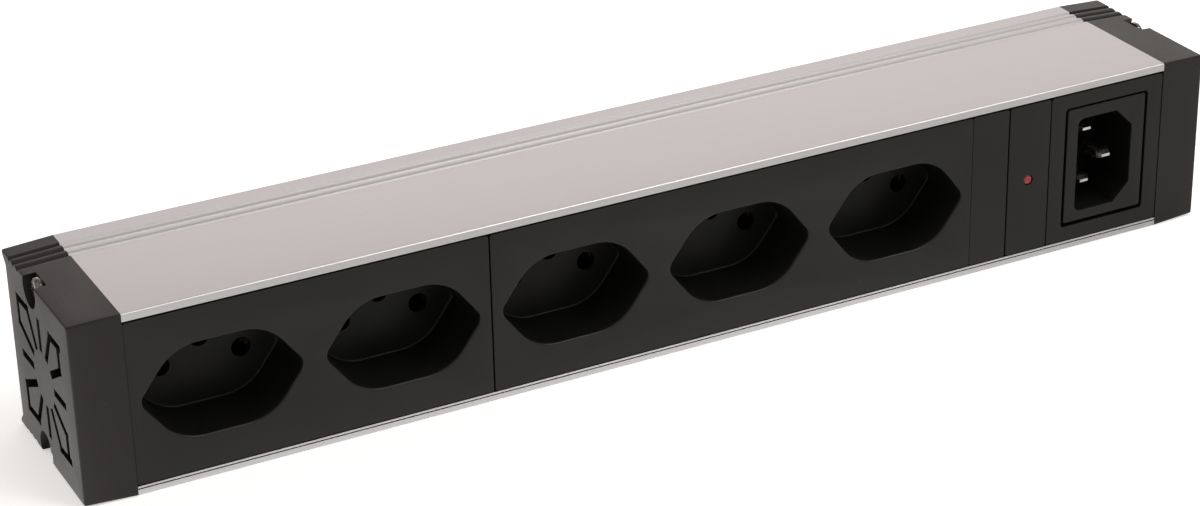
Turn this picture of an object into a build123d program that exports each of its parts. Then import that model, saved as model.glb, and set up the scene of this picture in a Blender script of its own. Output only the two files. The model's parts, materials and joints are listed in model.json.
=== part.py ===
from build123d import *
import math
import os

# A desk power strip: an aluminium extrusion with black modules in its open front and a cap on each end.
# All sizes are in millimetres. X runs along the strip, the sockets face -Y, Z is up, and the origin is
# in the middle of the footprint, on the surface that the strip rests on.

# Extrusion
height = 44.0
depth = 44.3
profile_length = 269.6
wall = 1.9
hook_reach = 1.9
hook_drop = 2.5
hook_tip = 0.6
front_round = 0.5
groove_count = 3
groove_pitch = 3.0
first_groove = 11.35
groove_depth = 0.7
groove_run_in = 1.8
groove_flank = 0.25
groove_crest_drop = 0.05
groove_run_out = 0.35
lip_slit = 0.3
lip_slit_rise = 1.62
lip_bead = 0.3

# End caps
cap_length = 12.0
cap_wall = 2.0
cap_end_wall = 2.5
cap_taper = 0.45
cap_round = 0.4
pocket_radius = 4.2
pocket_depth = 3.0
pocket_z = 41.6
seat_rise = 0.5
seat_radius = 2.3
boss_wall = 1.2
rim_steps = 5
cap_tongue_y = (7.2, 11.2)
cap_tongue_inner = 18.4
cap_tongue_outer = 19.8
cap_tongue_reach = 4.0
cap_tongue_root = 6.0

# Vent slots in the end caps
vent_width = 1.85
vent_inner = 6.7
vent_outer = 14.7
vent_front_bar = 12.8
vent_rear_bar = 14.2
vent_y = -1.15
loop_inner = (3.6, 6.6)
loop_rim_start = 7.6
loop_rim_overlap = 7.4
loop_upright_end = 7.7
loop_return = (6.4, 4.0)

# Cap screws and the ports they thread into
screw_y = 3.15
screw_z = 41.3
screw_head_radius = 2.7
screw_head_height = 1.4
screw_shank_radius = 1.2
screw_length = 17.0
port_radius = 2.9
port_bore = 1.25
port_mouth = 1.2
screw_clearance = 0.4
cross_width = 0.6

# Earth screw and its port
earth_port_y = 14.8
earth_port_z = 38.2
earth_port_radius = 3.0
earth_port_bore = 1.5
earth_shank_radius = 1.45
earth_head_radius = 3.0
earth_head_height = 2.2
earth_screw_length = 9.0
earth_rib = 2.0
ring_radius = 3.3
ring_neck_width = 3.0
ring_barrel_x = 2.0
ring_barrel_z = (30.0, 34.4)
ring_neck_bottom = 31.0

# Front modules
face_inset = 0.15
plate_thickness = 2.4
plate_bottom = 2.4
plate_top = 41.55
plate_corner = 0.6
plate_edge = 0.15
skirt_thickness = 1.6
skirt_depth = 11.6
tongue_front = 1.3
tongue_thickness = 1.2
tongue_reach = 1.25
groove_clearance = 0.15
skirt_gap = 0.25
blank_width = 10.5
indicator_width = 12.1
inlet_width = 33.1

# Gaps at the front joints, from the joint to the plate on either side
cap_gap = 0.06
close_gap = 0.03
middle_gap = 0.13
wide_gap = 0.18

# Plug recesses: a six-sided outline with a tip at each side
socket_pitch = 42.78
socket_z = 21.8
well_depth = 14.0
well_height = 22.5
well_flat = 21.3
well_tip = 19.2
well_draft = 0.35
well_rim = 0.5
tip_round = 2.8
blend_round = 11.6
floor_round = 0.5
cup_wall = 1.5
floor_thickness = 2.0
pin_hole_radius = 2.3
pin_spacing = 19.0
earth_offset = 5.0

# Rear trays
tray_gap = 0.1
tray_half_height = 13.2
tray_wall = 1.4
tray_rear = 15.4
tray_end_gap = 1.0
flange_thickness = 1.6
flange_half_height = 17.6
block_screw_inset = 5.5
block_screw_offset = 15.9
block_boss_radius = 2.2
block_shank_radius = 1.0
block_head_radius = 2.1
block_head_height = 1.6
block_screw_length = 11.0

# Contact rails
rail_thickness = 0.8
rail_height = 3.4
live_rail_y = 11.2
earth_rail_y = 13.2
line_rail_z = 11.8
neutral_rail_z = 31.8
earth_rail_z = 26.8
clip_base = 5.2
clip_height = 4.0
clip_gap = 2.0
clip_waist = 1.85
clip_flare = 2.7
leaf_thickness = 0.6
rail_end_inset = 3.5
link_length = 15.0
rivet_radius = 1.0
rivet_head_radius = 1.5
rivet_head_height = 0.6
rivet_inset = 2.0
tab_width = 4.8
tab_length = 7.5
tail_start = 1.0
earth_tail_start = 13.6

# Push-on terminals and wires
terminal_body = 8.0
terminal_barrel = 4.0
terminal_width = 5.8
terminal_thickness = 2.8
barrel_radius = 1.6
wire_radius = 1.4
thin_wire_radius = 0.7

# Indicator
indicator_z = 21.55
lens_radius = 1.3
lens_recess = 0.1
lens_rounding = 0.5
lens_flange = 2.2
lens_length = 6.6
board_y = -9.6
board_width = 9.0
board_height = 30.0
board_thickness = 1.6
post_radius = 1.6
post_offset = 12.0
led_radius = 1.5
led_flange = 1.9
led_height = 4.8
led_flange_height = 1.0
led_leg_offset = 1.27
led_leg_radius = 0.25
resistor_x = 2.6
resistor_rise = 7.0
resistor_radius = 1.1
resistor_half_length = 3.1
resistor_lift = 1.5
resistor_leg_radius = 0.3
resistor_leg_reach = 4.6
resistor_leg_bend = 0.8
line_solder_z = 12.8
neutral_solder_z = 35.7

# Appliance inlet
inlet_window_width = 24.4
inlet_window_height = 31.8
inlet_flange_width = 22.9
inlet_flange_height = 30.2
inlet_flange_rise = 0.25
inlet_flange_thickness = 1.6
inlet_corner = 1.0
inlet_body_width = 19.1
inlet_body_height = 27.8
inlet_opening_width = 16.1
inlet_opening_height = 24.8
inlet_chamfer = 4.7
inlet_inner_round = 1.8
inlet_cavity_depth = 15.0
inlet_floor = 2.6
inlet_z = 22.0
pin_width = 4.0
pin_thickness = 2.0
live_pin_recess = 4.6
earth_pin_recess = 1.9
live_pin_x = -2.35
earth_pin_x = 1.85
live_pin_spacing = 14.0
inlet_tab_length = 8.9
inlet_opening_shift = 0.25
inlet_latch_half_width = 4.0
inlet_latch_reach = 0.9
inlet_latch_length = 2.4
pin_tip_width = 2.3
pin_tip_thickness = 0.7
pin_tip_length = 1.5
inlet_terminal_gap = 1.4

# Derived places
front_y = -depth / 2
face_y = front_y + face_inset
plate_back = face_y + plate_thickness
rear_face = depth / 2 - hook_reach
rear_inner = rear_face - wall
profile_end = profile_length / 2
floor_y = face_y + well_depth
floor_back = floor_y + floor_thickness
double_start = -profile_end
triple_start = double_start + 2 * socket_pitch
blank_start = triple_start + 3 * socket_pitch
indicator_start = blank_start + blank_width
inlet_start = indicator_start + indicator_width
indicator_x = indicator_start + indicator_width / 2
inlet_x = inlet_start + inlet_width / 2
tray_front = floor_back + tray_gap


def span(x, y, z):
    """Box between the two values of each pair."""
    box = Box(x[1] - x[0], y[1] - y[0], z[1] - z[0])
    return Pos((x[0] + x[1]) / 2, (y[0] + y[1]) / 2, (z[0] + z[1]) / 2) * box


def rod_x(x, y, z, radius):
    """Round bar along X between the pair x."""
    return Pos((x[0] + x[1]) / 2, y, z) * Rot(0, 90, 0) * Cylinder(radius, x[1] - x[0])


def rod_y(x, y, z, radius):
    """Round bar along Y between the pair y."""
    return Pos(x, (y[0] + y[1]) / 2, z) * Rot(90, 0, 0) * Cylinder(radius, y[1] - y[0])


def rod_z(x, y, z, radius):
    """Round bar along Z between the pair z."""
    return Pos(x, y, (z[0] + z[1]) / 2) * Cylinder(radius, z[1] - z[0])


def side_plane(x):
    """Cross-section plane at x, centred at mid-height: its x runs to the rear and its y runs up."""
    return Plane(origin=(x, 0, height / 2), x_dir=(0, 1, 0), z_dir=(1, 0, 0))


def front_plane(x, y, z):
    """Plane facing the front: its x runs along the strip and its y runs up."""
    return Plane(origin=(x, y, z), x_dir=(1, 0, 0), z_dir=(0, -1, 0))


def upper_outline():
    """Upper half of the section: front face, round edge, flat top, grooves and the rear hook."""
    top = height / 2
    half = depth / 2
    slant = front_round * (1 - math.sqrt(0.5))
    run_in = first_groove - groove_run_in
    edges = [
        Line((-half, 0), (-half, top - front_round)),
        ThreePointArc((-half, top - front_round), (-half + slant, top - slant), (-half + front_round, top)),
        Line((-half + front_round, top), (run_in, top)),
        TangentArc((run_in, top), (first_groove, top - groove_depth), tangent=(1, 0)),
    ]
    for index in range(groove_count - 1):
        low = first_groove + index * groove_pitch
        crest = (low + groove_pitch / 2, top - groove_crest_drop)
        shoulder = (low + groove_flank, top - groove_flank)
        edges.append(Line((low, top - groove_depth), shoulder))
        edges.append(ThreePointArc(shoulder, crest, (low + groove_pitch, top - groove_depth)))
    last = first_groove + (groove_count - 1) * groove_pitch
    edges += [
        Line((last, top - groove_depth), (last + groove_run_out, top)),
        Line((last + groove_run_out, top), (half, top)),
        Line((half, top), (half, top - hook_tip)),
        Line((half, top - hook_tip), (rear_face, top - hook_drop)),
        Line((rear_face, top - hook_drop), (rear_face, 0)),
    ]
    return Curve() + edges


def outline(inset=0.0):
    """Full section of the strip, shrunk about its middle by about the inset."""
    half = upper_outline()
    face = make_face(half + mirror(half, about=Plane.XZ))
    return scale(face, by=1 - inset / (height / 2))


def port_section(radius, bore, mouth, mouth_angle):
    """Screw port: a round boss with a bore that opens through a narrow mouth."""
    opening = Rot(0, 0, mouth_angle) * Pos(radius, 0) * Rectangle(2 * radius, mouth)
    return Circle(radius) - Circle(bore) - opening


def aluminium_profile():
    inner_height = height - 2 * wall
    middle = height / 2
    cavity = Pos((front_y - 1 + rear_inner) / 2, 0) * Rectangle(rear_inner - front_y + 1, inner_height)
    groove_width = tongue_thickness + 2 * groove_clearance
    groove_middle = plate_back + tongue_front + tongue_thickness / 2
    tongue_groove = Pos(groove_middle, 0) * Rectangle(groove_width, inner_height + 1.8)
    bead = Pos(front_y + 0.65, -middle + wall + lip_bead / 2) * Rectangle(1.2, lip_bead)
    slit = Pos(front_y + 1.0, -middle + lip_slit_rise) * Rectangle(2.4, lip_slit)
    section = outline() - cavity - tongue_groove
    section = section + bead - slit
    for side, angle in ((1, -90), (-1, 90)):
        place = Pos(screw_y, side * (screw_z - middle))
        boss = place * port_section(port_radius, port_bore, port_mouth, angle)
        section = section - place * Circle(port_bore)
        section = section + (boss & outline())
    earth_place = Pos(earth_port_y, earth_port_z - middle)
    rib = Pos((earth_port_y + earth_port_bore + rear_inner) / 2 + 0.5, earth_port_z - middle)
    rib = rib * Rectangle(rear_inner - earth_port_y - earth_port_bore - 0.5, earth_rib)
    earth_port = earth_place * port_section(earth_port_radius, earth_port_bore, port_mouth, 180)
    section = section + rib + earth_port
    return extrude(side_plane(-profile_end) * section, amount=profile_length)


def vent_slots(outer_x):
    """Slots in the cap's end wall: four straight ones and an open loop in each corner."""
    reach = (vent_inner + vent_outer) / 2
    bar = Rectangle(vent_outer - vent_inner, vent_width)
    slots = Sketch()
    for quarter in range(4):
        slots += Rot(0, 0, 90 * quarter) * Pos(reach, 0) * bar
    rim = vent_outer - vent_width / 2
    for side, upright in ((1, vent_rear_bar), (-1, vent_front_bar)):
        for up in (1, -1):
            loop = [(loop_inner, (loop_rim_start, rim)), ((loop_rim_overlap, rim), (rim, rim))]
            loop += [((upright, rim), (upright, loop_upright_end))]
            loop += [((upright, loop_upright_end), loop_return)]
            for start, end in loop:
                placed_start = (side * start[0], up * start[1])
                placed_end = (side * end[0], up * end[1])
                slots += slot_between(placed_start, placed_end)
    return extrude(side_plane(outer_x) * Pos(vent_y, 0) * slots, amount=cap_end_wall + 1, both=True)


def slot_between(start, end):
    """Square-ended slot whose middle line joins two points."""
    length = math.dist(start, end) + vent_width
    angle = math.degrees(math.atan2(end[1] - start[1], end[0] - start[0]))
    middle = ((start[0] + end[0]) / 2, (start[1] + end[1]) / 2)
    return Pos(*middle) * Rot(0, 0, angle) * Rectangle(length, vent_width)


def cap_shell():
    """Outer form of the left cap: tapered, with its outer edge rounded."""
    outer_x = -profile_end - cap_length
    sections = [side_plane(-profile_end) * outline(0)]
    for step in range(rim_steps + 1):
        turn = math.pi / 2 * step / rim_steps
        x = outer_x + cap_round * (1 - math.sin(turn))
        inset = cap_taper + cap_round * (1 - math.cos(turn))
        sections.append(side_plane(x) * outline(inset))
    return loft(sections, ruled=True)


def end_cap_left():
    joint_x = -profile_end
    outer_x = joint_x - cap_length
    middle = height / 2
    shell = cap_shell()
    inner_rear = rear_face - cap_wall
    hollow_x = (outer_x + cap_end_wall, joint_x)
    cap = shell - span(hollow_x, (front_y + cap_wall, inner_rear), (cap_wall, height - cap_wall))
    for side in (1, -1):
        z = middle + side * (pocket_z - middle)
        hole_z = middle + side * (screw_z - middle)
        boss = rod_x((outer_x + pocket_depth - 1, joint_x), screw_y, z, pocket_radius + boss_wall)
        cap = cap + (boss & shell)
        cap = cap - rod_x((outer_x - 1, outer_x + pocket_depth), screw_y, z, pocket_radius)
        seat_x = (outer_x + pocket_depth - seat_rise, outer_x + pocket_depth)
        cap = cap + (rod_x(seat_x, screw_y, hole_z, seat_radius) & shell)
        cap = cap - rod_x((outer_x, joint_x + 1), screw_y, hole_z, screw_shank_radius + screw_clearance)
        tongue_z = sorted((middle + side * cap_tongue_inner, middle + side * cap_tongue_outer))
        root_z = sorted((middle + side * cap_tongue_inner, middle + side * (middle - cap_wall + 0.4)))
        cap = cap + span((joint_x - cap_tongue_root, joint_x + cap_tongue_reach), cap_tongue_y, tongue_z)
        cap = cap + span((joint_x - cap_tongue_root, joint_x), cap_tongue_y, root_z)
    return cap - vent_slots(outer_x)


def end_cap_right(left_cap):
    return mirror(left_cap, about=Plane.YZ)


def pan_screw(shank_radius, shank_length, head_radius, head_height):
    """Pan-head screw along X: its head spans 0 to the head height, its shank runs the other way."""
    head = Pos(head_height / 2, 0, 0) * Rot(0, 90, 0) * Cylinder(head_radius, head_height)
    rim = head.faces().sort_by(Axis.X)[-1].edges()
    head = fillet(rim, head_height * 0.5)
    arm = head_radius * 1.15
    slot_depth = head_height * 0.6
    recess_x = (head_height - slot_depth, head_height + 1)
    cross_side = (-cross_width / 2, cross_width / 2)
    cross = span(recess_x, (-arm / 2, arm / 2), cross_side)
    cross = cross + span(recess_x, cross_side, (-arm / 2, arm / 2))
    shank = rod_x((-shank_length + shank_radius, 0), 0, 0, shank_radius)
    tip = Pos(-shank_length + shank_radius / 2, 0, 0) * Rot(0, -90, 0)
    tip = tip * Cone(shank_radius, shank_radius * 0.3, shank_radius)
    return head - cross + shank + tip


def end_cap_screws():
    """One screw at the top and one at the bottom of each cap, its head on the pocket's raised seat."""
    seat = profile_end + cap_length - pocket_depth + seat_rise
    screw = pan_screw(screw_shank_radius, screw_length, screw_head_radius, screw_head_height)
    right = [Pos(seat, screw_y, screw_z) * screw, Pos(seat, screw_y, height - screw_z) * screw]
    left = [mirror(one, about=Plane.YZ) for one in right]
    return Compound(children=right + left)


def well_outline(grow):
    """Outline of a plug recess, moved outwards by the given amount."""
    half_height = well_height / 2
    slope = math.atan2(half_height, well_tip - well_flat / 2)
    corner = well_flat / 2 + grow * math.tan(slope / 2)
    tip = well_tip + grow / math.sin(slope)
    top = half_height + grow
    upper = [(tip, 0), (corner, top), (-corner, top), (-tip, 0)]
    lower = [(-corner, -top), (corner, -top)]
    face = Polygon(*lower, *upper, align=None)
    tips = face.vertices().filter_by(lambda v: abs(v.Y) < 1)
    face = fillet(tips, tip_round + grow)
    corners = face.vertices().filter_by(lambda v: abs(abs(v.Y) - top) < 0.01)
    return fillet(corners, blend_round + grow)


def well(x):
    """Space of one plug recess, narrowing slightly towards its rounded floor."""
    mouth = front_plane(x, face_y, socket_z) * well_outline(0)
    floor = front_plane(x, floor_y, socket_z) * well_outline(-well_draft)
    space = loft([mouth, floor])
    return fillet(space.faces().sort_by(Axis.Y)[-1].edges(), floor_round)


def pin_places(x):
    """Line, neutral and earth pin positions of the socket at x, as (x, z) pairs."""
    line = (x + pin_spacing / 2, socket_z)
    neutral = (x - pin_spacing / 2, socket_z)
    earth = (x, socket_z + earth_offset)
    return line, neutral, earth


def face_plate(start, end, gaps):
    """Flat front plate of a module with rounded corners, set in from the two ends by the pair of gaps."""
    left = start + gaps[0]
    right = end - gaps[1]
    middle_z = (plate_bottom + plate_top) / 2
    shape = RectangleRounded(right - left, plate_top - plate_bottom, plate_corner)
    return extrude(front_plane((left + right) / 2, plate_back, middle_z) * shape, amount=plate_thickness)


def round_front_edges(plate):
    """Plate with a small radius on every edge of its front face."""
    return fillet(plate.faces().sort_by(Axis.Y)[0].edges(), plate_edge)


def round_well_rims(plate):
    """Plate with a larger radius round the mouth of each recess than round its own outline."""
    face = plate.faces().sort_by(Axis.Y)[0]
    plate = fillet([edge for wire in face.inner_wires() for edge in wire.edges()], well_rim)
    face = plate.faces().sort_by(Axis.Y)[0]
    return fillet(face.outer_wire().edges(), plate_edge)


def skirts(start, end):
    """Upper and lower walls behind a plate, each with the tongue that slides in the extrusion."""
    x = (start + skirt_gap, end - skirt_gap)
    y = (plate_back, plate_back + skirt_depth)
    tongue_y = (plate_back + tongue_front, plate_back + tongue_front + tongue_thickness)
    low = span(x, y, (plate_bottom + 0.1, plate_bottom + 0.1 + skirt_thickness))
    low = low + span(x, tongue_y, (plate_bottom - tongue_reach, plate_bottom + 0.1))
    high = span(x, y, (plate_top - 0.05 - skirt_thickness, plate_top - 0.05))
    high = high + span(x, tongue_y, (plate_top - 0.05, plate_top + tongue_reach))
    return low + high


def socket_centres(start, count):
    return [start + socket_pitch * (index + 0.5) for index in range(count)]


def block_screw_places(start, count):
    """Four screw positions of a socket block, as (x, z) pairs."""
    end = start + count * socket_pitch
    columns = (start + block_screw_inset, end - block_screw_inset)
    rows = (socket_z - block_screw_offset, socket_z + block_screw_offset)
    return [(x, z) for x in columns for z in rows]


def socket_front(start, count, gaps):
    """Front moulding of a socket block: plate, skirts, plug recesses and screw bosses."""
    end = start + count * socket_pitch
    wells = [well(x) for x in socket_centres(start, count)]
    plate = face_plate(start, end, gaps)
    for one in wells:
        plate = plate - one
    plate = round_well_rims(plate)
    body = skirts(start, end)
    side_y = (plate_back, plate_back + skirt_depth)
    side_z = (plate_bottom + 0.1, plate_top - 0.05)
    body = body + span((start + skirt_gap, start + skirt_gap + skirt_thickness), side_y, side_z)
    body = body + span((end - skirt_gap - skirt_thickness, end - skirt_gap), side_y, side_z)
    for x, z in block_screw_places(start, count):
        body = body + rod_y(x, (plate_back, floor_back), z, block_boss_radius)
        bore_y = (floor_back - block_screw_length + 1, floor_back + 1)
        body = body - rod_y(x, bore_y, z, block_shank_radius + 0.05)
    for x in socket_centres(start, count):
        cup = front_plane(x, floor_back, socket_z) * well_outline(cup_wall)
        body = body + extrude(cup, amount=floor_back - plate_back)
    for one in wells:
        body = body - one
    front = plate + body
    for x in socket_centres(start, count):
        for hole_x, hole_z in pin_places(x):
            front = front - rod_y(hole_x, (floor_y - 1, floor_back + 1), hole_z, pin_hole_radius)
    return front


def rail_rows():
    """Height and plane of each rail, as (z, y) pairs: line, neutral, earth."""
    return (line_rail_z, live_rail_y), (neutral_rail_z, live_rail_y), (earth_rail_z, earth_rail_y)


def socket_back(start, count):
    """Rear tray of a socket block, with ribs that hold the rails apart."""
    end = start + count * socket_pitch
    outer_x = (start + tray_end_gap, end - tray_end_gap)
    inner_x = (outer_x[0] + tray_wall, outer_x[1] - tray_wall)
    outer_z = (socket_z - tray_half_height, socket_z + tray_half_height)
    inner_z = (outer_z[0] + tray_wall, outer_z[1] - tray_wall)
    inner_y = (tray_front - 1, tray_rear - tray_wall + 0.2)
    flange_z = (socket_z - flange_half_height, socket_z + flange_half_height)
    tray = span(outer_x, (tray_front, tray_rear), outer_z)
    tray = tray + span(outer_x, (tray_front, tray_front + flange_thickness), flange_z)
    tray = tray - span(inner_x, inner_y, inner_z)
    for index in range(1, count):
        x = start + index * socket_pitch
        tray = tray + span((x - 0.6, x + 0.6), (tray_front, tray_rear - tray_wall + 0.2), inner_z)
    for z, y in rail_rows():
        slot_z = (z - rail_height / 2 - 0.1, z + rail_height / 2 + 0.1)
        tray = tray - span((start, end), (tray_front - 1, y + rail_thickness + 0.1), slot_z)
    for x, z in block_screw_places(start, count):
        hole_y = (tray_front - 1, tray_front + flange_thickness + 1)
        tray = tray - rod_y(x, hole_y, z, block_shank_radius + 0.3)
    return tray


def socket_block_screws():
    """Screws that hold each rear tray to its front, four to a block."""
    screw = pan_screw(block_shank_radius, block_screw_length, block_head_radius, block_head_height)
    seat = tray_front + flange_thickness
    places = block_screw_places(double_start, 2) + block_screw_places(triple_start, 3)
    return Compound(children=[Pos(x, seat, z) * Rot(0, 0, 90) * screw for x, z in places])


def spring_clip(x, z, base_y):
    """Two sprung leaves that grip a round pin, standing forward from the rail's front at base_y."""
    free_end = tray_front + 1.2
    waist = free_end + 2.4
    profile = [
        (clip_gap, base_y),
        (clip_gap, 2.0),
        (clip_waist, waist),
        (clip_flare, free_end),
        (clip_flare + leaf_thickness, free_end + 0.3),
        (clip_waist + leaf_thickness, waist + 0.2),
        (clip_gap + leaf_thickness, 2.0),
        (clip_gap + leaf_thickness, base_y),
    ]
    clip = None
    for side in (1, -1):
        face = make_face(Polyline([(side * u, v) for u, v in profile], close=True))
        leaf = extrude(Pos(x, 0, z - clip_height / 2) * face, amount=clip_height)
        clip = leaf if clip is None else clip + leaf
    return clip


def contact_rail(start, count, pole):
    """One pole's rail of a socket block, with a clip behind each pin hole and a tab where wires join."""
    rail_z, rail_y = rail_rows()[pole]
    end = start + count * socket_pitch
    plane = (rail_y, rail_y + rail_thickness)
    strip_z = (rail_z - rail_height / 2, rail_z + rail_height / 2)
    last_block = start == triple_start
    first_x = start + rail_end_inset
    last_x = end + wire_tab_start(pole) if last_block else end - rail_end_inset
    rail = span((first_x, last_x), plane, strip_z)
    for x in socket_centres(start, count):
        clip_x, clip_z = pin_places(x)[pole]
        rail = rail + spring_clip(clip_x, clip_z, rail_y)
        stem_z = (min(rail_z, clip_z - clip_height / 2), max(rail_z, clip_z + clip_height / 2))
        rail = rail + span((clip_x - clip_base / 2, clip_x + clip_base / 2), plane, stem_z)
    if last_block:
        tab_z = (rail_z - tab_width / 2, rail_z + tab_width / 2)
        rail = rail + span((last_x - 0.01, last_x + tab_length), plane, tab_z)
    for x in link_holes():
        rail = rail - rod_y(x, (rail_y - 1, rail_y + rail_thickness + 1), rail_z, rivet_radius)
    return rail


def wire_tab_start(pole):
    """Distance from the end of the socket blocks to the tab of a pole's rail."""
    return earth_tail_start if pole == 2 else tail_start


def link_holes():
    """Rivet positions along X, one in each block's rail."""
    reach = link_length / 2 - rivet_inset
    return triple_start - reach, triple_start + reach


def rail_link(pole):
    """Flat bridge that joins a pole's rails across the two blocks."""
    rail_z, rail_y = rail_rows()[pole]
    x = (triple_start - link_length / 2, triple_start + link_length / 2)
    z = (rail_z - rail_height / 2, rail_z + rail_height / 2)
    link = span(x, (rail_y - rail_thickness, rail_y), z)
    for hole in link_holes():
        link = link - rod_y(hole, (rail_y - 2, rail_y + 1), rail_z, rivet_radius)
    return link


def rail_rivets():
    """Rivets through the links and the rails, two to a link."""
    rivets = []
    for rail_z, rail_y in rail_rows():
        front = rail_y - rail_thickness
        for x in link_holes():
            shank = rod_y(x, (front, rail_y + rail_thickness), rail_z, rivet_radius)
            head = rod_y(x, (front - rivet_head_height, front), rail_z, rivet_head_radius)
            rivets.append(shank + head)
    return Compound(children=rivets)


def blank_plate():
    end = blank_start + blank_width
    plate = face_plate(blank_start, end, (close_gap, wide_gap))
    return round_front_edges(plate) + skirts(blank_start, end)


def indicator_plate():
    """Narrow plate with the lens hole and two posts for the circuit board."""
    end = indicator_start + indicator_width
    plate = face_plate(indicator_start, end, (wide_gap, middle_gap))
    plate = round_front_edges(plate) + skirts(indicator_start, end)
    for side in (1, -1):
        z = indicator_z + side * post_offset
        plate = plate + rod_y(indicator_x, (plate_back, board_y), z, post_radius)
    return plate - rod_y(indicator_x, (face_y - 1, plate_back + 1), indicator_z, lens_radius + 0.05)


def indicator_lens():
    """Domed light guide that passes through the plate, with a collar behind it."""
    front = face_y + lens_recess
    guide = rod_y(indicator_x, (front, front + lens_length), indicator_z, lens_radius)
    guide = fillet(guide.faces().sort_by(Axis.Y)[0].edges(), lens_rounding)
    return guide + rod_y(indicator_x, (plate_back, plate_back + 0.8), indicator_z, lens_flange)


def indicator_led():
    """Round lamp with a domed nose, a collar and two legs through the board."""
    body_y = (board_y - led_height, board_y - led_flange_height / 2)
    body = rod_y(indicator_x, body_y, indicator_z, led_radius)
    body = fillet(body.faces().sort_by(Axis.Y)[0].edges(), led_radius * 0.9)
    lamp = body + rod_y(indicator_x, (board_y - led_flange_height, board_y), indicator_z, led_flange)
    leg_y = (board_y, board_y + board_thickness + 1)
    for side in (1, -1):
        lamp = lamp + rod_y(indicator_x + side * led_leg_offset, leg_y, indicator_z, led_leg_radius)
    return lamp


def indicator_board():
    """Circuit board with holes for the lamp's legs."""
    x = (indicator_x - board_width / 2, indicator_x + board_width / 2)
    z = (indicator_z - board_height / 2, indicator_z + board_height / 2)
    board = span(x, (board_y, board_y + board_thickness), z)
    hole_y = (board_y - 1, board_y + board_thickness + 1)
    for side in (1, -1):
        hole_x = indicator_x + side * led_leg_offset
        board = board - rod_y(hole_x, hole_y, indicator_z, led_leg_radius + 0.05)
    return board


def resistor(x, z):
    """Axial resistor standing off the board's rear, with its legs bent down to it."""
    board_rear = board_y + board_thickness
    lift = board_rear + resistor_lift
    body = rod_z(x, lift, (z - resistor_half_length, z + resistor_half_length), resistor_radius)
    rims = body.edges().filter_by(GeomType.CIRCLE)
    low = z - resistor_leg_reach
    high = z + resistor_leg_reach
    corners = [(x, board_rear, low), (x, lift, low), (x, lift, high), (x, board_rear, high)]
    path = FilletPolyline(*corners, radius=resistor_leg_bend)
    start = Plane(origin=path @ 0, z_dir=path % 0)
    return fillet(rims, 0.4) + sweep(start * Circle(resistor_leg_radius), path=path)


def indicator_resistors():
    z = indicator_z + resistor_rise
    return Compound(children=[resistor(indicator_x + side * resistor_x, z) for side in (1, -1)])


def wire(points, radius):
    """Round wire along a smooth curve through four control points."""
    path = Bezier(*points)
    start = Plane(origin=path @ 0, z_dir=path % 0)
    return sweep(start * Circle(radius), path=path)


def indicator_wires():
    """Thin wires from the board to the line and neutral terminals."""
    board_rear = board_y + board_thickness
    terminal_x = blank_start + tail_start + 5.0
    terminal_y = live_rail_y + rail_thickness / 2 - terminal_thickness / 2
    wires = []
    for rail_z, board_z in ((line_rail_z, line_solder_z), (neutral_rail_z, neutral_solder_z)):
        start = (indicator_x, board_rear, board_z)
        end = (terminal_x, terminal_y, rail_z)
        mid_start = (indicator_x, board_rear + 8, board_z)
        mid_end = (terminal_x, terminal_y - 8, rail_z)
        wires.append(wire((start, mid_start, mid_end, end), thin_wire_radius))
    return Compound(children=wires)


def inlet_opening():
    """Outline of the inlet's opening: two corners cut off on the right, two rounded on the left."""
    shape = Rectangle(inlet_opening_width, inlet_opening_height)
    right = shape.vertices().filter_by(lambda v: v.X > 0)
    shape = chamfer(right, inlet_chamfer)
    left = shape.vertices().filter_by(lambda v: v.X < -inlet_opening_width / 2 + 0.01)
    return fillet(left, inlet_inner_round)


def inlet_plate():
    """Plate with a recessed window that the inlet's flange sits in."""
    end = inlet_start + inlet_width
    plate = face_plate(inlet_start, end, (middle_gap, close_gap))
    window = RectangleRounded(inlet_window_width, inlet_window_height, inlet_corner)
    ledge_y = face_y + inlet_flange_thickness
    window_plane = front_plane(inlet_x, ledge_y, inlet_z)
    plate = plate - extrude(window_plane * window, amount=inlet_flange_thickness + 1)
    plate = round_front_edges(plate)
    half_width = inlet_body_width / 2 + 0.2
    half_height = inlet_body_height / 2 + 0.2
    opening_x = (inlet_x - half_width, inlet_x + half_width)
    opening_z = (inlet_z - half_height, inlet_z + half_height)
    plate = plate - span(opening_x, (face_y - 1, plate_back + 1), opening_z)
    return plate + skirts(inlet_start, end)


def inlet_pins():
    """Position of each inlet pin, as (x, z) pairs: line, neutral, earth."""
    line = (inlet_x + live_pin_x, inlet_z - live_pin_spacing / 2)
    neutral = (inlet_x + live_pin_x, inlet_z + live_pin_spacing / 2)
    earth = (inlet_x + earth_pin_x, inlet_z)
    return line, neutral, earth


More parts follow.
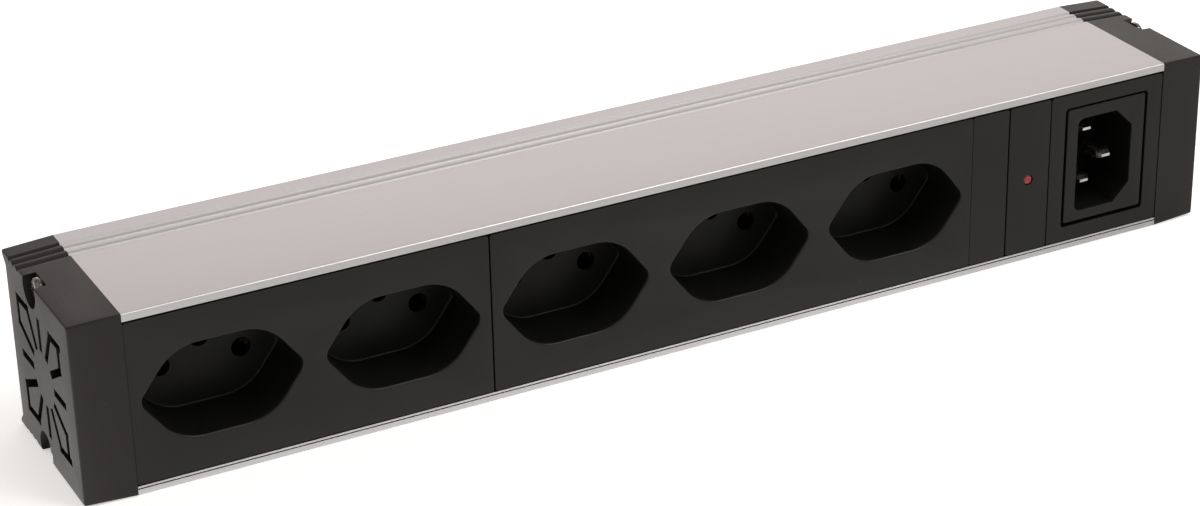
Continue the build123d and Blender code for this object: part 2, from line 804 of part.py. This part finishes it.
def inlet_body():
    """Inlet moulding: flange flush with the plate, deep cavity, solid floor and two snap latches."""
    flange_back = face_y + inlet_flange_thickness
    floor_front = face_y + inlet_cavity_depth
    body_end = floor_front + inlet_floor
    flange_shape = RectangleRounded(inlet_flange_width, inlet_flange_height, inlet_corner * 0.6)
    flange_plane = front_plane(inlet_x, flange_back, inlet_z + inlet_flange_rise)
    flange = extrude(flange_plane * flange_shape, amount=inlet_flange_thickness)
    cavity_plane = front_plane(inlet_x - inlet_opening_shift, floor_front, inlet_z)
    cavity = extrude(cavity_plane * inlet_opening(), amount=inlet_cavity_depth)
    flange = round_front_edges(flange - cavity)
    shell_shape = RectangleRounded(inlet_body_width, inlet_body_height, inlet_inner_round)
    shell = extrude(front_plane(inlet_x, body_end, inlet_z) * shell_shape, amount=body_end - flange_back)
    body = flange + (shell - cavity)
    edge = inlet_body_height / 2
    latch_x = (inlet_x - inlet_latch_half_width, inlet_x + inlet_latch_half_width)
    latch_y = (plate_back + 0.05, plate_back + inlet_latch_length)
    for side in (1, -1):
        latch_z = sorted((inlet_z + side * (edge - 0.2), inlet_z + side * (edge + inlet_latch_reach)))
        body = body + span(latch_x, latch_y, latch_z)
    for x, z in inlet_pins():
        x_range = (x - pin_width / 2, x + pin_width / 2)
        z_range = (z - pin_thickness / 2, z + pin_thickness / 2)
        body = body - span(x_range, (floor_front - 1, body_end + 1), z_range)
    return body


def inlet_pin(pole):
    """Flat pin with a narrowed tip, and a thin tab for a push-on terminal behind the floor."""
    x, z = inlet_pins()[pole]
    tip_y = face_y + (earth_pin_recess if pole == 2 else live_pin_recess)
    shoulder_y = tip_y + pin_tip_length
    body_end = face_y + inlet_cavity_depth + inlet_floor
    blade_x = (x - pin_width / 2, x + pin_width / 2)
    blade_z = (z - pin_thickness / 2, z + pin_thickness / 2)
    end_face = front_plane(x, tip_y, z) * Rectangle(pin_tip_width, pin_tip_thickness)
    full_section = front_plane(x, shoulder_y, z) * Rectangle(pin_width, pin_thickness)
    blade = span(blade_x, (shoulder_y, body_end), blade_z) + loft([end_face, full_section])
    tab_x = (x - tab_width / 2, x + tab_width / 2)
    tab_z = (z - rail_thickness / 2, z + rail_thickness / 2)
    return blade + span(tab_x, (body_end, body_end + inlet_tab_length), tab_z)


def terminal():
    """Push-on terminal along X: flat body with a slot for the tab, then a round barrel for the wire."""
    body_y = (-terminal_thickness / 2, terminal_thickness / 2)
    body_z = (-terminal_width / 2, terminal_width / 2)
    body = span((0, terminal_body), body_y, body_z)
    body = fillet(body.edges().filter_by(Axis.X), 0.6)
    half_slot = rail_thickness / 2 + 0.05
    slot_x = (-1, terminal_body - 0.4)
    slot = span(slot_x, (-half_slot, half_slot), (-tab_width / 2 - 0.05, tab_width / 2 + 0.05))
    return body - slot + rod_x((terminal_body, terminal_body + terminal_barrel), 0, 0, barrel_radius)


def terminal_mouths():
    """Where each push-on terminal starts: three on the rails' tabs, three on the inlet's tabs."""
    on_rails = []
    for pole, (rail_z, rail_y) in enumerate(rail_rows()):
        mouth_x = blank_start + wire_tab_start(pole) + 0.2
        on_rails.append((mouth_x, rail_y + rail_thickness / 2, rail_z))
    inlet_mouth = face_y + inlet_cavity_depth + inlet_floor + inlet_terminal_gap
    on_inlet = [(x, inlet_mouth, z) for x, z in inlet_pins()]
    return on_rails, on_inlet


def wire_terminals():
    """Six push-on terminals, one at each end of the three supply wires."""
    on_rails, on_inlet = terminal_mouths()
    placed = [Pos(*mouth) * terminal() for mouth in on_rails]
    along_y = Rot(0, 0, 90) * Rot(90, 0, 0)
    placed += [Pos(*mouth) * along_y * terminal() for mouth in on_inlet]
    return Compound(children=placed)


def supply_wire(pole):
    """Wire from a rail's terminal to the same pole's terminal on the inlet."""
    on_rails, on_inlet = terminal_mouths()
    length = terminal_body + terminal_barrel
    x, y, z = on_rails[pole]
    start = (x + length, y, z)
    inlet_end_x, inlet_end_y, inlet_end_z = on_inlet[pole]
    end = (inlet_end_x, inlet_end_y + length, inlet_end_z)
    lead = (start[0] + 0.6 * (end[0] - start[0]), start[1], start[2])
    arrive = (end[0], end[1] + 7, end[2])
    return wire((start, lead, arrive, end), wire_radius)


def earth_ring_terminal():
    """Ring under the earth screw, with a barrel that points down."""
    x = (profile_end, profile_end + rail_thickness)
    ring = rod_x(x, earth_port_y, earth_port_z, ring_radius)
    neck_y = (earth_port_y - ring_neck_width / 2, earth_port_y + ring_neck_width / 2)
    neck = span(x, neck_y, (ring_neck_bottom, earth_port_z - 1))
    barrel = rod_z(profile_end + ring_barrel_x, earth_port_y, ring_barrel_z, barrel_radius)
    hole = rod_x((x[0] - 1, x[1] + 1), earth_port_y, earth_port_z, earth_shank_radius + 0.1)
    return ring + neck + barrel - hole


def earth_screw():
    seat = profile_end + rail_thickness
    screw = pan_screw(earth_shank_radius, earth_screw_length, earth_head_radius, earth_head_height)
    return Pos(seat, earth_port_y, earth_port_z) * screw


def earth_bond_wire():
    """Wire from the ring terminal to the side of the inlet's earth terminal."""
    on_inlet = terminal_mouths()[1]
    x, y, z = on_inlet[2]
    start = (profile_end + ring_barrel_x, earth_port_y, ring_barrel_z[0])
    end = (x + terminal_width / 2, y + 4, z)
    lead = (start[0], start[1], start[2] - 8)
    arrive = (end[0] + 8, end[1], end[2])
    return wire((start, lead, arrive, end), wire_radius)


def build():
    """Every piece of the strip, by node name."""
    left_cap = end_cap_left()
    parts = {
        "aluminium_profile": aluminium_profile(),
        "end_cap_left": left_cap,
        "end_cap_right": end_cap_right(left_cap),
        "end_cap_screws": end_cap_screws(),
        "double_socket_front": socket_front(double_start, 2, (cap_gap, wide_gap)),
        "triple_socket_front": socket_front(triple_start, 3, (wide_gap, close_gap)),
        "double_socket_back": socket_back(double_start, 2),
        "triple_socket_back": socket_back(triple_start, 3),
        "socket_block_screws": socket_block_screws(),
        "rail_rivets": rail_rivets(),
        "blank_plate": blank_plate(),
        "indicator_plate": indicator_plate(),
        "indicator_lens": indicator_lens(),
        "indicator_led": indicator_led(),
        "indicator_board": indicator_board(),
        "indicator_resistors": indicator_resistors(),
        "indicator_wires": indicator_wires(),
        "inlet_plate": inlet_plate(),
        "inlet_body": inlet_body(),
        "wire_terminals": wire_terminals(),
        "earth_ring_terminal": earth_ring_terminal(),
        "earth_screw": earth_screw(),
        "earth_bond_wire": earth_bond_wire(),
    }
    for pole, name in enumerate(("line", "neutral", "earth")):
        parts[name + "_rail_double"] = contact_rail(double_start, 2, pole)
        parts[name + "_rail_triple"] = contact_rail(triple_start, 3, pole)
        parts[name + "_link"] = rail_link(pole)
        parts["inlet_" + name + "_pin"] = inlet_pin(pole)
        parts[name + "_wire"] = supply_wire(pole)
    return parts


os.makedirs("parts", exist_ok=True)
for node, shape in build().items():
    export_step(shape, "parts/" + node + ".step")
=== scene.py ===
import json
import math

import bpy
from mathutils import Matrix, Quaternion, Vector


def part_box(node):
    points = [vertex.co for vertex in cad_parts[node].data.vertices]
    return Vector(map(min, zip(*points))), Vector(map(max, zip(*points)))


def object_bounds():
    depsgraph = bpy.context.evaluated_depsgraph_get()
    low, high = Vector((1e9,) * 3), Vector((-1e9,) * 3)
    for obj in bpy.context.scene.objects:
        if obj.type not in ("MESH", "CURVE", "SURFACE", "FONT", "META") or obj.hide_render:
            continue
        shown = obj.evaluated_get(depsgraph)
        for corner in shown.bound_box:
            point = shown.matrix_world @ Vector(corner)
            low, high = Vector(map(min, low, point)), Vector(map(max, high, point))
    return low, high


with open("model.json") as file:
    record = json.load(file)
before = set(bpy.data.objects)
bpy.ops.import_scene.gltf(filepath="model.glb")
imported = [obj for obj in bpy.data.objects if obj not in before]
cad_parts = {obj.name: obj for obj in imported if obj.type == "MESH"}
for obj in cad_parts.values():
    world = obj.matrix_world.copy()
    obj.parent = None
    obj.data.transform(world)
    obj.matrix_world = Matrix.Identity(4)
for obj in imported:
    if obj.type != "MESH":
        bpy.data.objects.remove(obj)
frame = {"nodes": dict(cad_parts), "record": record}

# A desk power strip on a plain pale floor. Lengths are in metres unless multiplied by mm, in the frame
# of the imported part: X runs along the strip, the sockets face -Y and Z is up.

cad_low, cad_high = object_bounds()
mm = 0.001

# Camera
camera_place = Vector((-0.3055, -0.5762, 0.3349))
camera_azimuth = math.radians(-27.11)
camera_elevation = math.radians(26.05)
camera_roll = math.radians(-1.28)
camera_lens = 91.87

# Floor: its glow as the camera sees it, and the light it gives off towards the strip in each zone
floor_half = 6.0
floor_gap = 0.05 * mm
floor_dark = (0.85, 0.845, 0.835, 1)
floor_light = (0.87, 0.865, 0.855, 1)
floor_glow_colour = (1.0, 0.98, 0.97, 1)
floor_glow = 0.46
bounce_far_front = 0.04
bounce_near = 0.53
bounce_near_right = 0.10
bounce_left_front = 1.15
bounce_left_rear = 0.18

# Room and lights: each light's place, width and height, power in watts and colour
room_glow = 0.60
room_colour = (1.0, 0.965, 0.95, 1)
studio_lights = {
    "overhead": ((0.55, -0.45, 1.15), (0.7, 0.5), 6.0, (1.0, 0.97, 0.955)),
    "rear_left": ((-0.7, 1.2, 0.18), (1.4, 0.34), 0.25, (1.0, 0.95, 0.93)),
    "rear_right": ((1.7, 3.05, 1.5), (2.8, 1.5), 14.0, (1.0, 0.88, 0.84)),
    "front_right": ((0.60, -1.05, 1.00), (0.5, 0.3), 2.4, (1.0, 0.97, 0.96)),
}

# Shading of the meshes
crease_angle = math.radians(32)
weld_distance = 0.001 * mm

# Read from the frame
panel_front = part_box("blank_plate")[0].y


def place_camera():
    level = math.cos(camera_elevation)
    back = Vector((
        math.sin(camera_azimuth) * level,
        -math.cos(camera_azimuth) * level,
        math.sin(camera_elevation),
    ))
    data = bpy.data.cameras.new("camera")
    data.lens = camera_lens
    data.clip_start = 0.01
    camera = bpy.data.objects.new("camera", data)
    camera.location = camera_place
    level_turn = (-back).to_track_quat("-Z", "Y")
    camera.rotation_euler = (level_turn @ Quaternion((0, 0, 1), camera_roll)).to_euler()
    bpy.context.scene.collection.objects.link(camera)
    bpy.context.scene.camera = camera


# ---------------------------------------------------------------- material building blocks

def feed(tree, socket, value):
    """Gives an input socket a value, or a link from another node's output."""
    if isinstance(value, bpy.types.NodeSocket):
        tree.links.new(value, socket)
    else:
        socket.default_value = value


def add_node(tree, kind, inputs=None, **settings):
    """Adds a shader node. Each input is a value, or another node's output to link from."""
    made = tree.nodes.new(kind)
    for key, value in settings.items():
        setattr(made, key, value)
    for key, value in (inputs or {}).items():
        feed(tree, made.inputs[key], value)
    return made


def start_material(name):
    """A new material's node tree and its principled shader."""
    material = bpy.data.materials.new(name)
    material.use_nodes = True
    shader = material.node_tree.nodes["Principled BSDF"]
    return material, material.node_tree, shader


def object_place(tree, scale=(1, 1, 1)):
    """The point being shaded, in the object's own frame, with each axis multiplied by its scale."""
    source = add_node(tree, "ShaderNodeTexCoord").outputs["Object"]
    return add_node(tree, "ShaderNodeMapping", {"Vector": source, "Scale": scale}).outputs["Vector"]


def place_axes(tree):
    """The X, Y and Z of the point being shaded."""
    return add_node(tree, "ShaderNodeSeparateXYZ", {"Vector": object_place(tree)}).outputs


def noise(tree, scale, detail=2.0, stretch=(1.0, 1.0, 1.0)):
    """Soft noise with about this many features in a metre along each axis."""
    place = object_place(tree, [scale * axis for axis in stretch])
    made = add_node(tree, "ShaderNodeTexNoise", {"Vector": place, "Scale": 1.0, "Detail": detail})
    return made.outputs["Fac"]


def ramp(tree, value, low, high, out_low=0.0, out_high=1.0):
    """The value taken from low..high to out_low..out_high, held at the ends."""
    made = add_node(tree, "ShaderNodeMapRange", {
        "Value": value, "From Min": low, "From Max": high, "To Min": out_low, "To Max": out_high,
    })
    return made.outputs["Result"]


def combine(tree, operation, first, second):
    """Two values put together by a maths operation such as ADD."""
    made = add_node(tree, "ShaderNodeMath", {0: first, 1: second}, operation=operation)
    return made.outputs["Value"]


def weigh(tree, first, first_share, second, second_share=1.0):
    """The sum of two values, each times its share."""
    scaled = combine(tree, "MULTIPLY", first, first_share)
    return combine(tree, "ADD", scaled, combine(tree, "MULTIPLY", second, second_share))


def blend_colours(tree, factor, first, second):
    """The first colour at factor 0 and the second at factor 1. The node's colour sockets are 6, 7 and 2."""
    made = add_node(tree, "ShaderNodeMix", {0: factor, 6: first, 7: second}, data_type="RGBA")
    return made.outputs[2]


def bump(tree, height, distance, strength=1.0, edge=0.0):
    """Normal for a height field of the given depth, over edges softened by the edge radius."""
    inputs = {"Height": height, "Distance": distance, "Strength": strength}
    if edge:
        rounded = add_node(tree, "ShaderNodeBevel", {"Radius": edge}, samples=4)
        inputs["Normal"] = rounded.outputs["Normal"]
    return add_node(tree, "ShaderNodeBump", inputs).outputs["Normal"]


def specks(tree, cell, radius):
    """1 inside sparse round specks, 0 elsewhere: about one speck in ten cells."""
    place = object_place(tree, [1 / cell] * 3)
    points = add_node(tree, "ShaderNodeTexVoronoi", {"Vector": place, "Scale": 1.0})
    inside = combine(tree, "LESS_THAN", points.outputs["Distance"], radius / cell)
    drawn = add_node(tree, "ShaderNodeSeparateColor", {"Color": points.outputs["Color"]})
    chosen = combine(tree, "GREATER_THAN", drawn.outputs["Red"], 0.9)
    return combine(tree, "MULTIPLY", inside, chosen)


# ---------------------------------------------------------------- materials

def anodised_aluminium():
    """Satin anodised extrusion: fine lines along the strip and a fine even grain."""
    material, tree, shader = start_material("anodised_aluminium")
    lines = noise(tree, 5200, 3.0, (0.004, 1.0, 1.0))
    grain = noise(tree, 4200)
    cloud = noise(tree, 35)
    tone = ramp(tree, weigh(tree, lines, 0.35, grain, 0.65), 0.35, 0.65)
    colour = blend_colours(tree, tone, (0.495, 0.487, 0.488, 1), (0.546, 0.537, 0.538, 1))
    cloudy = ramp(tree, cloud, 0.35, 0.65, 0.0, 0.25)
    feed(tree, shader.inputs["Base Color"], blend_colours(tree, cloudy, colour, (0.509, 0.500, 0.501, 1)))
    feed(tree, shader.inputs["Metallic"], 1.0)
    feed(tree, shader.inputs["Roughness"], ramp(tree, grain, 0.3, 0.7, 0.40, 0.48))
    height = weigh(tree, lines, 0.25, grain)
    feed(tree, shader.inputs["Normal"], bump(tree, height, 0.003 * mm, 0.6, 0.08 * mm))
    return material


def moulded_plastic(
    name, dark, light, roughness, grain_size, grain_depth, edge, dust=0.0, specular=0.35,
):
    """Moulded plastic with a spark-eroded grain, faint cloudiness and, if asked for, sparse dust."""
    material, tree, shader = start_material(name)
    grain = noise(tree, 1 / grain_size, 3.0)
    cloud = noise(tree, 60, 3.0)
    colour = blend_colours(tree, ramp(tree, cloud, 0.35, 0.65), dark, light)
    if dust:
        spot = specks(tree, 4.0 * mm, 0.09 * mm)
        colour = blend_colours(tree, combine(tree, "MULTIPLY", spot, dust), colour, (0.32, 0.31, 0.29, 1))
    feed(tree, shader.inputs["Base Color"], colour)
    grainy = ramp(tree, grain, 0.3, 0.7, -0.05, 0.05)
    cloudy = ramp(tree, cloud, 0.3, 0.7, -0.03, 0.03)
    uneven = combine(tree, "ADD", grainy, cloudy)
    feed(tree, shader.inputs["Roughness"], combine(tree, "ADD", uneven, roughness))
    feed(tree, shader.inputs["Specular IOR Level"], specular)
    feed(tree, shader.inputs["Normal"], bump(tree, grain, grain_depth, 0.7, edge))
    return material, tree, shader


def cap_plastic():
    """End caps: near-black, with a coarser grain than the panels."""
    return moulded_plastic(
        "cap_plastic", (0.0062, 0.0050, 0.0044, 1), (0.0090, 0.0072, 0.0064, 1), roughness=0.42,
        grain_size=0.34 * mm, grain_depth=0.03 * mm, edge=0.1 * mm, dust=0.3, specular=0.28,
    )[0]


def panel_plastic():
    """Satin front panels, smoother inside the recesses than on the face, with their reflections turned down
    there as painted shade.
    """
    material, tree, shader = moulded_plastic(
        "panel_plastic", (0.0045, 0.0045, 0.0038, 1), (0.0065, 0.0065, 0.0055, 1), roughness=0.0,
        grain_size=0.16 * mm, grain_depth=0.010 * mm, edge=0.1 * mm, dust=0.3,
    )
    inside = ramp(tree, place_axes(tree)["Y"], panel_front + 0.3 * mm, panel_front + 1.5 * mm)
    uneven = shader.inputs["Roughness"].links[0].from_socket
    base = ramp(tree, inside, 0.0, 1.0, 0.42, 0.34)
    feed(tree, shader.inputs["Roughness"], combine(tree, "ADD", uneven, base))
    # Lower specular inside the recesses is painted shade: the recesses get less light.
    feed(tree, shader.inputs["Specular IOR Level"], ramp(tree, inside, 0.0, 1.0, 0.28, 0.14))
    return material


def tray_plastic():
    """Rear trays: plain dark grey moulding, out of sight."""
    return moulded_plastic(
        "tray_plastic", (0.045, 0.044, 0.042, 1), (0.055, 0.054, 0.052, 1),
        roughness=0.5, grain_size=0.3 * mm, grain_depth=0.02 * mm, edge=0.15 * mm,
    )[0]


def worked_metal(name, dark, light, roughness, stretch, depth=0.004 * mm, tarnish_and_shade_scale=400):
    """Bare or plated metal with fine tool lines along one axis and a little tarnish; on the steel the tarnish
    noise makes dark smudges, painted shade of the dark screw pockets.
    """
    material, tree, shader = start_material(name)
    lines = noise(tree, 3000, 2.0, stretch)
    tarnish_and_shade = noise(tree, tarnish_and_shade_scale, 3.0)
    tone = weigh(tree, lines, 0.4, tarnish_and_shade, 0.6)
    feed(tree, shader.inputs["Base Color"], blend_colours(tree, ramp(tree, tone, 0.35, 0.65), dark, light))
    feed(tree, shader.inputs["Metallic"], 1.0)
    rough = ramp(tree, tone, 0.3, 0.7, roughness + 0.08, roughness - 0.06)
    feed(tree, shader.inputs["Roughness"], rough)
    feed(tree, shader.inputs["Normal"], bump(tree, lines, depth, 0.6, 0.1 * mm))
    return material


def red_lens():
    """Translucent red plastic, paler in the middle where the light guide shows through."""
    material, tree, shader = start_material("lens")
    low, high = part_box("indicator_lens")
    middle = (low + high) / 2
    flat = object_place(tree, (1, 0, 1))
    centre = (middle.x, 0, middle.z)
    reach = add_node(tree, "ShaderNodeVectorMath", {0: flat, 1: centre}, operation="DISTANCE")
    rim = ramp(tree, reach.outputs["Value"], 0.8 * mm, 1.3 * mm)
    cloud = noise(tree, 1800)
    pale = blend_colours(tree, cloud, (0.24, 0.011, 0.011, 1), (0.32, 0.020, 0.019, 1))
    feed(tree, shader.inputs["Base Color"], blend_colours(tree, rim, pale, (0.13, 0.010, 0.010, 1)))
    feed(tree, shader.inputs["Roughness"], ramp(tree, cloud, 0.3, 0.7, 0.22, 0.32))
    feed(tree, shader.inputs["Subsurface Weight"], 0.3)
    feed(tree, shader.inputs["Subsurface Scale"], 0.5 * mm)
    feed(tree, shader.inputs["Coat Weight"], 0.15)
    feed(tree, shader.inputs["Normal"], bump(tree, cloud, 0.01 * mm, 0.3))
    return material


def red_led():
    """Clear red body in front of the board, and tinned legs through it and behind it."""
    material, tree, shader = start_material("led")
    board_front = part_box("indicator_board")[0].y
    leg = combine(tree, "GREATER_THAN", place_axes(tree)["Y"], board_front)
    wear = noise(tree, 900, 3.0)
    colour = blend_colours(tree, leg, (0.45, 0.02, 0.02, 1), (0.6, 0.6, 0.58, 1))
    worn = ramp(tree, wear, 0.3, 0.7, 0.0, 0.35)
    feed(tree, shader.inputs["Base Color"], blend_colours(tree, worn, colour, (0.02, 0.02, 0.02, 1)))
    feed(tree, shader.inputs["Metallic"], leg)
    feed(tree, shader.inputs["Roughness"], ramp(tree, leg, 0.0, 1.0, 0.15, 0.3))
    feed(tree, shader.inputs["Normal"], bump(tree, wear, 0.01 * mm, 0.4))
    return material


def circuit_board():
    """Green solder mask over fine copper tracks."""
    material, tree, shader = start_material("board")
    tracks = add_node(tree, "ShaderNodeTexBrick", {
        "Vector": object_place(tree), "Scale": 420.0, "Mortar Size": 0.06,
        "Color1": (0, 0, 0, 1), "Color2": (0, 0, 0, 1), "Mortar": (1, 1, 1, 1),
    }).outputs["Color"]
    weave = noise(tree, 2500)
    mask = blend_colours(tree, weave, (0.010, 0.07, 0.025, 1), (0.016, 0.10, 0.038, 1))
    feed(tree, shader.inputs["Base Color"], blend_colours(tree, tracks, mask, (0.05, 0.20, 0.07, 1)))
    feed(tree, shader.inputs["Roughness"], ramp(tree, weave, 0.3, 0.7, 0.28, 0.4))
    feed(tree, shader.inputs["Normal"], bump(tree, weave, 0.01 * mm, 0.4))
    return material


def banded_resistor():
    """Tan lacquer with colour bands along the body; the legs below and above are tinned."""
    material, tree, shader = start_material("resistor")
    low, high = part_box("indicator_resistors")
    along = ramp(tree, place_axes(tree)["Z"], low.z, high.z)
    bands = add_node(tree, "ShaderNodeValToRGB", {"Fac": along})
    bands.color_ramp.interpolation = "CONSTANT"
    tinned = (0.6, 0.6, 0.58, 1)
    tan = (0.55, 0.42, 0.25, 1)
    stops = [
        (0.0, tinned), (0.18, tan), (0.30, (0.45, 0.02, 0.02, 1)), (0.36, tan), (0.44, (0.10, 0.02, 0.20, 1)),
        (0.50, tan), (0.58, (0.35, 0.12, 0.01, 1)), (0.64, tan), (0.72, (0.55, 0.38, 0.05, 1)), (0.78, tan),
        (0.84, tinned),
    ]
    elements = bands.color_ramp.elements
    for index, (position, colour) in enumerate(stops):
        stop = elements[index] if index < 2 else elements.new(position)
        stop.position = position
        stop.color = colour
    lacquer = noise(tree, 1500)
    dulled = ramp(tree, lacquer, 0.3, 0.7, 0.0, 0.3)
    shade = blend_colours(tree, dulled, bands.outputs["Color"], (0.2, 0.15, 0.1, 1))
    feed(tree, shader.inputs["Base Color"], shade)
    feed(tree, shader.inputs["Roughness"], ramp(tree, lacquer, 0.3, 0.7, 0.3, 0.45))
    feed(tree, shader.inputs["Normal"], bump(tree, lacquer, 0.01 * mm, 0.3))
    return material


def wire_insulation(name, base, stripe=None):
    """Soft wire insulation; the earth wire has a second colour in stripes."""
    material, tree, shader = start_material(name)
    mottle = noise(tree, 700, 3.0)
    shaded = [0.6 * channel for channel in base[:3]] + [1]
    colour = blend_colours(tree, ramp(tree, mottle, 0.3, 0.7, 0.0, 0.4), base, shaded)
    if stripe:
        bands = add_node(tree, "ShaderNodeTexWave", {
            "Vector": object_place(tree, (260, 260, 260)), "Scale": 1.0,
        }, wave_type="BANDS", bands_direction="DIAGONAL").outputs["Fac"]
        colour = blend_colours(tree, combine(tree, "GREATER_THAN", bands, 0.5), colour, stripe)
    feed(tree, shader.inputs["Base Color"], colour)
    feed(tree, shader.inputs["Roughness"], ramp(tree, mottle, 0.3, 0.7, 0.38, 0.5))
    feed(tree, shader.inputs["Normal"], bump(tree, mottle, 0.02 * mm, 0.4))
    return material


def finishes():
    """Each material slot of the record and its material."""
    return {
        "anodised_aluminium": anodised_aluminium(),
        "cap_plastic": cap_plastic(),
        "panel_plastic": panel_plastic(),
        "tray_plastic": tray_plastic(),
        # Steel runs from near black to mid grey: painted shade and painted dark reflection of the pockets
        # around the screw heads.
        "steel": worked_metal(
            "steel", (0.010, 0.010, 0.009, 1), (0.32, 0.31, 0.29, 1), 0.12, (1, 1, 1),
            depth=0.03 * mm, tarnish_and_shade_scale=1300,
        ),
        "nickel": worked_metal(
            "nickel", (0.45, 0.44, 0.41, 1), (0.65, 0.63, 0.60, 1), 0.24, (1, 0.05, 1),
        ),
        "brass": worked_metal(
            "brass", (0.50, 0.33, 0.11, 1), (0.68, 0.48, 0.19, 1), 0.30, (0.02, 1, 1),
        ),
        "tinned_brass": worked_metal(
            "tinned_brass", (0.50, 0.49, 0.46, 1), (0.70, 0.69, 0.65, 1), 0.34, (1, 1, 1),
        ),
        "lens": red_lens(),
        "led": red_led(),
        "board": circuit_board(),
        "resistor": banded_resistor(),
        "thin_wire": wire_insulation("thin_wire", (0.02, 0.02, 0.02, 1)),
        "line_insulation": wire_insulation("line_insulation", (0.12, 0.045, 0.018, 1)),
        "neutral_insulation": wire_insulation("neutral_insulation", (0.01, 0.05, 0.30, 1)),
        "earth_insulation": wire_insulation(
            "earth_insulation", (0.03, 0.25, 0.03, 1), (0.70, 0.55, 0.02, 1),
        ),
    }


def smooth_group():
    """Modifier group: joins split corners, then shades smooth except across creased edges."""
    tree = bpy.data.node_groups.new("smooth_by_angle", "GeometryNodeTree")
    tree.interface.new_socket("Geometry", in_out="INPUT", socket_type="NodeSocketGeometry")
    tree.interface.new_socket("Geometry", in_out="OUTPUT", socket_type="NodeSocketGeometry")
    source = tree.nodes.new("NodeGroupInput")
    merge = tree.nodes.new("GeometryNodeMergeByDistance")
    merge.inputs["Distance"].default_value = weld_distance
    smooth = tree.nodes.new("GeometryNodeSetShadeSmooth")
    sharp = tree.nodes.new("GeometryNodeSetShadeSmooth")
    sharp.domain = "EDGE"
    sharp.inputs["Shade Smooth"].default_value = False
    angle = tree.nodes.new("GeometryNodeInputMeshEdgeAngle")
    over = tree.nodes.new("FunctionNodeCompare")
    over.operation = "GREATER_THAN"
    over.inputs["B"].default_value = crease_angle
    result = tree.nodes.new("NodeGroupOutput")
    links = tree.links
    links.new(source.outputs[0], merge.inputs["Geometry"])
    links.new(merge.outputs["Geometry"], smooth.inputs["Geometry"])
    links.new(smooth.outputs["Geometry"], sharp.inputs["Geometry"])
    links.new(angle.outputs["Unsigned Angle"], over.inputs["A"])
    links.new(over.outputs["Result"], sharp.inputs["Selection"])
    links.new(sharp.outputs["Geometry"], result.inputs[0])
    return tree


def dress_nodes():
    """Gives every CAD node its material and its shading."""
    materials = finishes()
    shading = smooth_group()
    slots = {entry["node"]: entry["material_slot"] for entry in frame["record"]["subparts"]}
    for name, node in frame["nodes"].items():
        node.data.materials.clear()
        node.data.materials.append(materials[slots[name]])
        modifier = node.modifiers.new("smooth", "NODES")
        modifier.node_group = shading


# ---------------------------------------------------------------- studio

def area_light(name, target, place, size, power, colour):
    """A rectangular light aimed at the target."""
    data = bpy.data.lights.new(name, "AREA")
    data.shape = "RECTANGLE"
    data.size, data.size_y = size
    data.energy = power
    data.color = colour
    light = bpy.data.objects.new(name, data)
    light.location = place
    light.rotation_euler = (target - Vector(place)).to_track_quat("-Z", "Y").to_euler()
    bpy.context.scene.collection.objects.link(light)


def floor_material():
    """Pale floor with one glow for the camera and another, set zone by zone, for the light on the strip."""
    material, tree, shader = start_material("floor")
    tone = blend_colours(tree, noise(tree, 3), floor_dark, floor_light)
    feed(tree, shader.inputs["Base Color"], tone)
    feed(tree, shader.inputs["Roughness"], 0.8)
    feed(tree, shader.inputs["Specular IOR Level"], 0.1)
    feed(tree, shader.inputs["Emission Color"], floor_glow_colour)
    x, y, _ = place_axes(tree)
    near = ramp(tree, x, 0.06, 0.13, bounce_near, bounce_near_right)
    around = ramp(tree, y, -0.11, -0.02, bounce_far_front, near)
    left_end = ramp(tree, y, -0.02, 0.05, bounce_left_front, bounce_left_rear)
    leftward = ramp(tree, x, cad_low.x + 0.01, cad_low.x - 0.01)
    bounce = ramp(tree, leftward, 0.0, 1.0, around, left_end)
    seen = add_node(tree, "ShaderNodeLightPath").outputs["Is Camera Ray"]
    feed(tree, shader.inputs["Emission Strength"], ramp(tree, seen, 0.0, 1.0, bounce, floor_glow))
    return material


def build_floor():
    half = floor_half
    mesh = bpy.data.meshes.new("floor")
    corners = [(-half, -half, 0), (half, -half, 0), (half, half, 0), (-half, half, 0)]
    mesh.from_pydata(corners, [], [(0, 1, 2, 3)])
    mesh.materials.append(floor_material())
    floor = bpy.data.objects.new("floor", mesh)
    floor.location.z = cad_low.z - floor_gap
    bpy.context.scene.collection.objects.link(floor)


def build_studio():
    middle = (cad_low + cad_high) / 2
    for name, settings in studio_lights.items():
        area_light(name, middle, *settings)
    world = bpy.data.worlds.new("studio")
    world.use_nodes = True
    background = world.node_tree.nodes["Background"]
    background.inputs["Color"].default_value = room_colour
    background.inputs["Strength"].default_value = room_glow
    bpy.context.scene.world = world
    bpy.context.scene.view_settings.view_transform = "Standard"
    bpy.context.scene.view_settings.look = "None"


dress_nodes()
build_floor()
build_studio()
place_camera()
